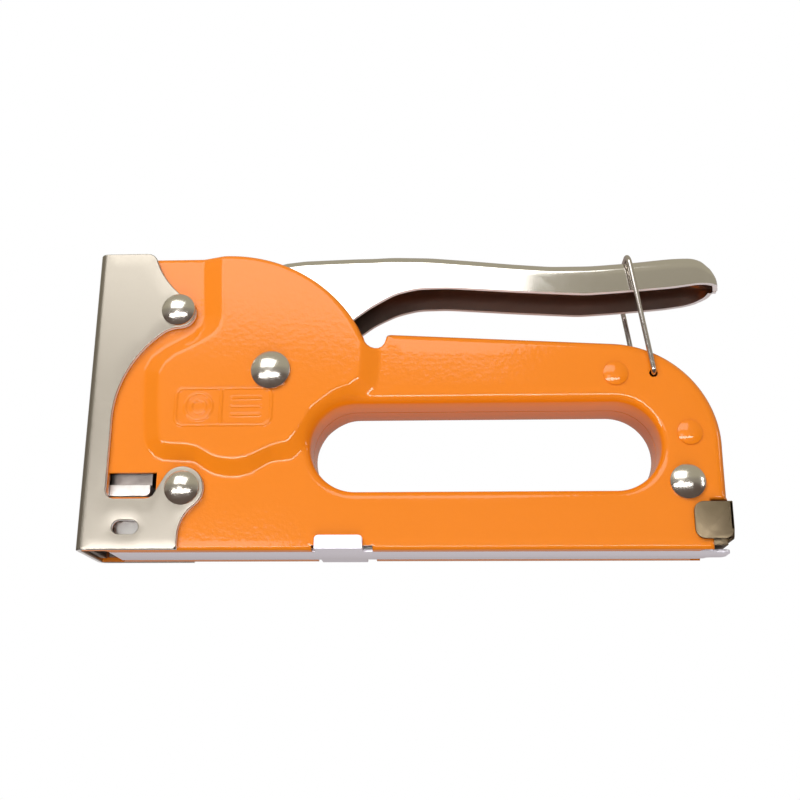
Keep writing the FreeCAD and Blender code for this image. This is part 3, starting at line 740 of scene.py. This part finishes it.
def lever_surface():
    """The lever's outer face: a rounded back with straight walls, open below, and a round tail."""
    tail_start = TAIL_X - LEVER_GRIP_HALF
    tail_turns = np.linspace(0.02, math.pi / 2 - 0.10, 26)
    stations = np.concatenate([np.linspace(17.0, 17.8, 4), np.linspace(18.6, 60.0, 44),
                               np.linspace(60.8, tail_start - 0.4, 78),
                               tail_start + LEVER_GRIP_HALF * np.sin(tail_turns)])
    fine = np.linspace(16.5, 148.5, 1321)

    def softened(table):
        raw = curve_height(table, fine)
        kernel = np.hanning(SOFT_WIDTH)
        padded = np.pad(raw, SOFT_WIDTH // 2, mode="edge")
        eased = np.convolve(padded, kernel / kernel.sum(), mode="same")
        eased = eased[SOFT_WIDTH // 2:-(SOFT_WIDTH // 2)][:len(raw)]
        weight = smooth((fine - 50.0) / 6.0) * smooth((146.0 - fine) / 5.0)
        return np.interp(stations, fine, raw + (eased - raw) * weight)

    top, low = softened(LEVER_TOP), softened(LEVER_LOW)
    rows = []
    for x, z_top, z_low in zip(stations, top, low):
        flare = smooth(np.array((x - LEVER_FLARE_FROM) / LEVER_FLARE_LENGTH))
        side = LEVER_HALF + (LEVER_GRIP_HALF - LEVER_HALF) * flare
        if x > tail_start:
            side = math.sqrt(max(LEVER_GRIP_HALF ** 2 - (x - tail_start) ** 2, 0.01))
            z_low = min(z_low, z_top - LEVER_LEAST_DEPTH)
        corner = min(LEVER_CORNER, 0.5 * (z_top - z_low), 0.55 * side)
        half = [(side * share * 0.5, z_top) for share in (0.0, 0.5, 1.0)]
        start = side - corner
        for k in range(9):
            turn = math.pi / 2 * k / 8
            half.append((start + corner * math.sin(turn), z_top - corner * (1 - math.cos(turn))))
        shoulder = half[-1][1]
        for k in range(1, 7):
            half.append((side, shoulder + (z_low - shoulder) * k / 6))
        rows.append([(x, y, z) for y, z in half[::-1]] + [(x, -y, z) for y, z in half[1:]])
    count = len(rows[0])
    points = [p for row in rows for p in row]
    faces = []
    for r in range(len(rows) - 1):
        for k in range(count - 1):
            a = r * count + k
            faces.append((a, a + 1, a + count + 1, a + count))
    last = (len(rows) - 1) * count
    points.append((TAIL_X, 0.0, top[-1] - 0.5))
    faces += [(last + k, last + k + 1, len(points) - 1) for k in range(count - 1)]
    return points, faces


lever_points, lever_faces = lever_surface()
lever = make("lever_channel", lever_points, lever_faces, [lever_chrome, lever_edge_painted_highlight, lever_inside_painted_shade])
# The cut edges, the rim slot, take the near-white painted-highlight copy of the chrome.
thicken(lever, LEVER_SHEET, 1)
# The inner faces take the brown painted-shade copy of the chrome.
lever.modifiers["thickness"].material_offset = 2
bake(lever, 42)
# The thickened sheet's inner wall can reach past the narrow tip, so it is held at the tail's end.
tail_end = (TAIL_X - HALF_LENGTH) * MM
for vertex in lever.data.vertices:
    vertex.co.x = min(vertex.co.x, tail_end)
hand_over(lever, "handle", "lever_chrome", "lever")


# ---------------------------------------------------------------- bail

def tube(path, radius, sides=14):
    """Points and faces of a round bar along a path, closed at its ends."""
    path = np.array(path, float)
    points, faces = [], []
    previous = None
    for i, here in enumerate(path):
        ahead = path[min(i + 1, len(path) - 1)] - path[max(i - 1, 0)]
        ahead /= np.linalg.norm(ahead)
        if previous is None:
            guess = np.array([0.3, 0.1, 1.0]) if abs(ahead[2]) < 0.9 else np.array([1.0, 0.1, 0.2])
            previous = guess
        side = previous - ahead * (previous @ ahead)
        side /= np.linalg.norm(side)
        previous = side
        other = np.cross(ahead, side)
        for k in range(sides):
            turn = math.tau * k / sides
            points.append(tuple(here + radius * (math.cos(turn) * side + math.sin(turn) * other)))
    for i in range(len(path) - 1):
        for k in range(sides):
            a, b = i * sides + k, i * sides + (k + 1) % sides
            faces.append((a, b, b + sides, a + sides))
    last = (len(path) - 1) * sides
    faces.append(tuple(range(sides))[::-1])
    faces.append(tuple(last + k for k in range(sides)))
    return points, faces


def bail_path():
    reach = math.hypot(BAIL_TOP[0] - BAIL_PIVOT[0], BAIL_TOP[1] - BAIL_PIVOT[1])
    lean = math.atan2(BAIL_TOP[0] - BAIL_PIVOT[0], BAIL_TOP[1] - BAIL_PIVOT[1])
    half, knee, bend, foot = 9.35, 1.0, 2.5, 6.6
    flat = [(-foot, 0.0)]
    for k in range(9):
        turn = math.pi / 2 * k / 8
        flat.append((-(half - knee) - knee * math.sin(turn), knee * (1 - math.cos(turn))))
    for k in range(11):
        turn = math.pi / 2 * k / 10
        flat.append((-half + bend * (1 - math.cos(turn)), reach - bend + bend * math.sin(turn)))
    whole = flat + [(-y, z) for y, z in flat[::-1]]
    return [(BAIL_PIVOT[0] + z * math.sin(lean), y, BAIL_PIVOT[1] + z * math.cos(lean)) for y, z in whole]


bail_points, bail_faces = tube(bail_path(), 0.6)
bail = make("bail_loop", bail_points, bail_faces, wire, 50)
hand_over(bail, "bail_loop", "bail_wire", "bail")


# ---------------------------------------------------------------- magazine

def slab(outline, low, high, axis):
    """A solid between two levels along an axis, with this outline in the other two."""
    count = len(outline)
    points = []
    for level in (low, high):
        for a, b in outline:
            point = {"y": (a, level, b), "z": (a, b, level), "x": (level, a, b)}[axis]
            points.append(point)
    faces = [tuple(range(count)), tuple(range(count, 2 * count))[::-1]]
    for k in range(count):
        after = (k + 1) % count
        faces.append((k, k + count, after + count, after))
    return points, faces


def joined(*parts):
    points, faces = [], []
    for more_points, more_faces in parts:
        faces += [tuple(i + len(points) for i in face) for face in more_faces]
        points += list(more_points)
    return points, faces


def rail_parts():
    plan = [(6.7, -5.2), (139.7, -5.2), (141.2, -4.4)]
    plan += [(x, y) for x, y in trace((141.2, -4.4), [(141.6, -3.6, 142.6, -3.4), (144.2, -3.3),
                                                      (145.2, -2.6, 145.4, -1.4)], 0.4, closed=False)[0][1:]]
    plan = plan + [(x, -y) for x, y in plan[::-1]]
    strip = slab(plan, 0.0, 0.8, "z")
    saddle = slab([(53.4, -9.2), (64.1, -9.2), (64.1, 9.2), (53.4, 9.2)], 0.02, 0.78, "z")
    ear = [(53.4, 0.05), (64.1, 0.05), (64.1, 2.5), (63.8, 3.0), (63.2, 3.2), (54.3, 3.2), (53.7, 3.0),
           (53.4, 2.5)]
    return strip, saddle, slab(ear, -9.4, -8.7, "y"), slab(ear, 8.7, 9.4, "y")


rail = make("magazine_rail_strip", *joined(*rail_parts()), zinc)
outward(rail)
bevel(rail, 0.16, 3)
bake(rail, 40)
hand_over(rail, "rail", "rail_zinc", "magazine_rail")


def clip_parts():
    low, high, front, back, corner = 2.1, 10.4, 136.7, 145.1, 2.2
    ear = trace((back, low + corner), [
        (back, high - 0.5), (back - 0.15, high - 0.15, back - 0.5, high), (front + corner, high),
        (front + 0.65, high - 0.65, front, high - corner), (front, low + corner),
        (front + 0.65, low + 0.65, front + corner, low), (back - corner, low),
        (back - 0.65, low + 0.65, back, low + corner)], 0.5)[0]
    back_plate = [(-9.4, low + corner), (-9.4, high), (9.4, high), (9.4, low + corner), (8.7, low + 0.4),
                  (8.2, low), (-8.2, low), (-8.7, low + 0.4)]
    plug = [(141.0, 1.35), (144.5, 1.35), (144.5, 10.3), (141.0, 10.3)]
    return (slab([tuple(p) for p in ear], -9.4, -8.7, "y"), slab([tuple(p) for p in ear], 8.7, 9.4, "y"),
            slab(back_plate, 144.4, 145.1, "x"), slab(plug, -5.2, 5.2, "y"))


clip = make("rear_clip_cap", *joined(*clip_parts()), clip_steel)
outward(clip)
bevel(clip, 0.15, 3)
bake(clip, 40)
hand_over(clip, "pusher", "clip_steel", "rear_clip")


# ---------------------------------------------------------------- plunger

def plunger_parts():
    """The block with its lug, and the foot that shows in the nose window."""
    body = [(2.7, 15.2), (15.6, 15.2), (15.6, 20.0), (19.0, 20.0), (19.0, 24.0), (15.6, 24.0),
            (15.6, 26.9), (2.7, 26.9)]
    core = [(2.8, 12.6), (15.5, 12.6), (15.5, 15.4), (2.8, 15.4)]
    foot = trace((5.0, 12.5), [(14.4, 12.5), (15.3, 12.9, 15.6, 14.0), (15.6, 15.2), (3.7, 15.2), (3.7, 14.0),
                               (4.0, 12.9, 5.0, 12.5)], 0.4)[0]
    foot_slab = slab([tuple(p) for p in foot], -7.2, 7.2, "y")
    return slab(body, -5.6, 5.6, "y"), slab(core, -5.5, 5.5, "y"), foot_slab


block_body, block_core, block_foot = plunger_parts()
# The block takes the near-black painted-shade steel, the foot the lighter steel.
for piece_name, parts, material in (("plunger_block", (block_body, block_core), plunger_block_painted_shade),
                                    ("plunger_foot_plate", (block_foot,), foot_steel)):
    piece = make(piece_name, *joined(*parts), material)
    outward(piece)
    bevel(piece, 0.2, 3)
    bake(piece, 40)
    hand_over(piece, "striker", "plunger_steel", "plunger")


# ---------------------------------------------------------------- springs

def coil_path(radius, length, turns, per_turn=20):
    count = int(turns * per_turn)
    return [(radius * math.cos(math.tau * turns * k / count), radius * math.sin(math.tau * turns * k / count),
             length * k / count)
            for k in range(count + 1)]


main_path = [(9.4 + x, y, 27.8 + z) for x, y, z in coil_path(5.1, 37.4, 9)]
main_spring = make("main_spring_coil", *tube(main_path, 0.8, 10), spring_steel, 60)
hand_over(main_spring, "frame", "spring_steel", "main_spring")
# 39.0 mm from end to end at rest, 28.0 mm with the plunger up.
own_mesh(main_spring)

pusher_path = [(20.35 + z, y, 4.4 + x) for x, y, z in coil_path(2.1, 120.3, 37.6, 14)]
pusher_spring = make("pusher_spring_coil", *tube(pusher_path, 0.3, 8), spring_steel, 60)
hand_over(pusher_spring, "pusher", "spring_steel", "pusher_spring")
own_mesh(pusher_spring)


# ---------------------------------------------------------------- inner CAD pieces

INNER = {
    "pivot_bushing": inner_steel, "rear_spacer": inner_steel, "lever_spring": spring_steel,
    "driver_blade": inner_steel, "bumper": rubber, "spring_seat": inner_steel,
    "staple_channel": inner_steel, "rail_core": inner_steel, "follower": inner_steel,
    "pusher_rod": spring_steel}
OTHER = {
    "left_shell": orange, "right_shell": orange, "grip_rivets": orange, "nose_plate": nickel,
    "nose_rivet_upper": chrome, "nose_rivet_lower": chrome, "pivot_rivet": chrome, "rear_rivet": chrome,
    "lever": lever_chrome, "bail": wire, "magazine_rail": zinc, "rear_clip": clip_steel,
    "main_spring": spring_steel, "pusher_spring": spring_steel, "plunger": plunger_block_painted_shade}
for node_name, material in {**INNER, **OTHER}.items():
    mesh = frame["nodes"][node_name].data
    mesh.materials.clear()
    mesh.materials.append(material)


# ---------------------------------------------------------------- stage, light and camera

def softbox(name, azimuth, elevation, distance, size, power, in_reflections=True, in_shade=True):
    """A rectangular light. Azimuth 0 is in front of the near side and grows to the right, in degrees."""
    a, e = math.radians(azimuth), math.radians(elevation)
    target = Vector((0, 0, 0.036))
    offset = Vector((math.sin(a) * math.cos(e), -math.cos(a) * math.cos(e), math.sin(e))) * distance
    data = bpy.data.lights.new(name, "AREA")
    data.shape = "RECTANGLE"
    data.size, data.size_y = size
    data.energy = power
    lamp = bpy.data.objects.new(name, data)
    lamp.location = target + offset
    lamp.rotation_euler = (-offset).to_track_quat("-Z", "Y").to_euler()
    lamp.visible_glossy = in_reflections
    lamp.visible_diffuse = in_shade
    bpy.context.scene.collection.objects.link(lamp)


def floor():
    """A pale floor that shows from above only, since the main view looks up past its edge."""
    size = 3.0
    mesh = bpy.data.meshes.new("floor")
    corners = [(-size, -size, 0), (size, -size, 0), (size, size, 0), (-size, size, 0)]
    mesh.from_pydata(corners, [], [(0, 1, 2, 3)])
    piece = bpy.data.objects.new("floor", mesh)
    piece.location = (0, 0, -0.0002)
    bpy.context.scene.collection.objects.link(piece)
    material = bpy.data.materials.new("floor")
    material.use_nodes = True
    tree = material.node_tree
    tree.nodes.clear()
    out = tree.nodes.new("ShaderNodeOutputMaterial")
    pale = tree.nodes.new("ShaderNodeBsdfDiffuse")
    pale.inputs["Color"].default_value = (0.9, 0.9, 0.9, 1)
    clear = tree.nodes.new("ShaderNodeBsdfTransparent")
    mix = tree.nodes.new("ShaderNodeMixShader")
    side = tree.nodes.new("ShaderNodeNewGeometry")
    tree.links.new(side.outputs["Backfacing"], mix.inputs["Fac"])
    tree.links.new(pale.outputs["BSDF"], mix.inputs[1])
    tree.links.new(clear.outputs["BSDF"], mix.inputs[2])
    tree.links.new(mix.outputs["Shader"], out.inputs["Surface"])
    mesh.materials.append(material)
    piece.visible_glossy = False
    piece.visible_diffuse = False
    piece.visible_shadow = False


def world():
    """White to the eye. What lights the tool is dim and even; what it reflects is dark below, grey in
    front, olive grey above and a warm grey behind."""
    scene_world = bpy.data.worlds.new("studio")
    bpy.context.scene.world = scene_world
    scene_world.use_nodes = True
    tree = scene_world.node_tree
    tree.nodes.clear()
    link = tree.links.new

    def background(colour, strength):
        node = tree.nodes.new("ShaderNodeBackground")
        node.inputs["Color"].default_value = (*colour, 1)
        node.inputs["Strength"].default_value = strength
        return node

    def mix(factor, first, second):
        node = tree.nodes.new("ShaderNodeMixShader")
        link(factor, node.inputs["Fac"])
        link(first.outputs[0], node.inputs[1])
        link(second.outputs[0], node.inputs[2])
        return node

    def remap(value, low, high):
        node = tree.nodes.new("ShaderNodeMapRange")
        node.interpolation_type = "SMOOTHSTEP"
        node.inputs["From Min"].default_value = low
        node.inputs["From Max"].default_value = high
        link(value, node.inputs["Value"])
        return node.outputs["Result"]

    path = tree.nodes.new("ShaderNodeLightPath")
    coordinates = tree.nodes.new("ShaderNodeTexCoord")
    split = tree.nodes.new("ShaderNodeSeparateXYZ")
    link(coordinates.outputs["Generated"], split.inputs["Vector"])
    white = background((1, 1, 1), 1.0)
    behind = background((0.36, 0.31, 0.28), 1.0)
    below = background((0.11, 0.080, 0.065), 1.0)
    ahead = background((0.26, 0.235, 0.195), 1.0)
    above = background((0.42, 0.39, 0.30), 1.0)
    even = background((1.0, 0.98, 0.96), 0.36)
    front = mix(remap(split.outputs["Z"], -0.05, 0.10), below, ahead)
    front = mix(remap(split.outputs["Z"], 0.22, 0.50), front, above)
    mirrored_world = mix(remap(split.outputs["Y"], 0.55, 0.80), front, behind)
    light = mix(path.outputs["Is Glossy Ray"], even, mirrored_world)
    final = mix(path.outputs["Is Camera Ray"], light, white)
    out = tree.nodes.new("ShaderNodeOutputWorld")
    link(final.outputs[0], out.inputs["Surface"])


CAMERA_AT = (0.0102, -0.2519, -0.0414)
CAMERA_TURN = (2.82, 17.27, 0.32)
CAMERA_LENS = 50.24


def camera():
    """Below the tool and in front of it, looking slightly up."""
    yaw, pitch, roll = (math.radians(turn) for turn in CAMERA_TURN)
    right = Vector((math.cos(yaw), math.sin(yaw), 0))
    ahead = Vector((-math.sin(yaw), math.cos(yaw), 0))
    up = Vector((0, 0, 1))
    forward = ahead * math.cos(pitch) + up * math.sin(pitch)
    top = up * math.cos(pitch) - ahead * math.sin(pitch)
    x_axis = right * math.cos(roll) + top * math.sin(roll)
    y_axis = top * math.cos(roll) - right * math.sin(roll)
    data = bpy.data.cameras.new("camera")
    data.lens = CAMERA_LENS
    data.sensor_width = 36.0
    data.clip_start = 0.01
    piece = bpy.data.objects.new("camera", data)
    columns = Matrix((x_axis, y_axis, -forward)).transposed()
    piece.matrix_world = Matrix.Translation(CAMERA_AT) @ columns.to_4x4()
    bpy.context.scene.collection.objects.link(piece)
    bpy.context.scene.camera = piece


floor()
world()
camera()
softbox("upper_left", -20, 37, 0.75, (0.66, 0.42), 2.2)
softbox("front_small", -18, 0, 0.6, (0.15, 0.12), 0.16)
softbox("right_low", 74, 0, 0.6, (0.08, 0.10), 0.12)
softbox("right_high", 74, 14, 0.6, (0.08, 0.08), 0.10)
softbox("crease_strip", -12, -10, 0.6, (0.85, 0.08), 2.6, True, False)
softbox("fill_left", -32, 30, 0.7, (0.4, 0.4), 2.1, False)
softbox("fill_front", 15, 12, 0.8, (0.5, 0.4), 0.7, False)
softbox("back_left", 150, 40, 0.8, (0.5, 0.5), 2.2, False)
softbox("from_below", 10, -62, 0.8, (0.6, 0.5), 3.2, False)

bpy.context.scene.view_settings.view_transform = "Standard"
bpy.context.scene.view_settings.look = "None"
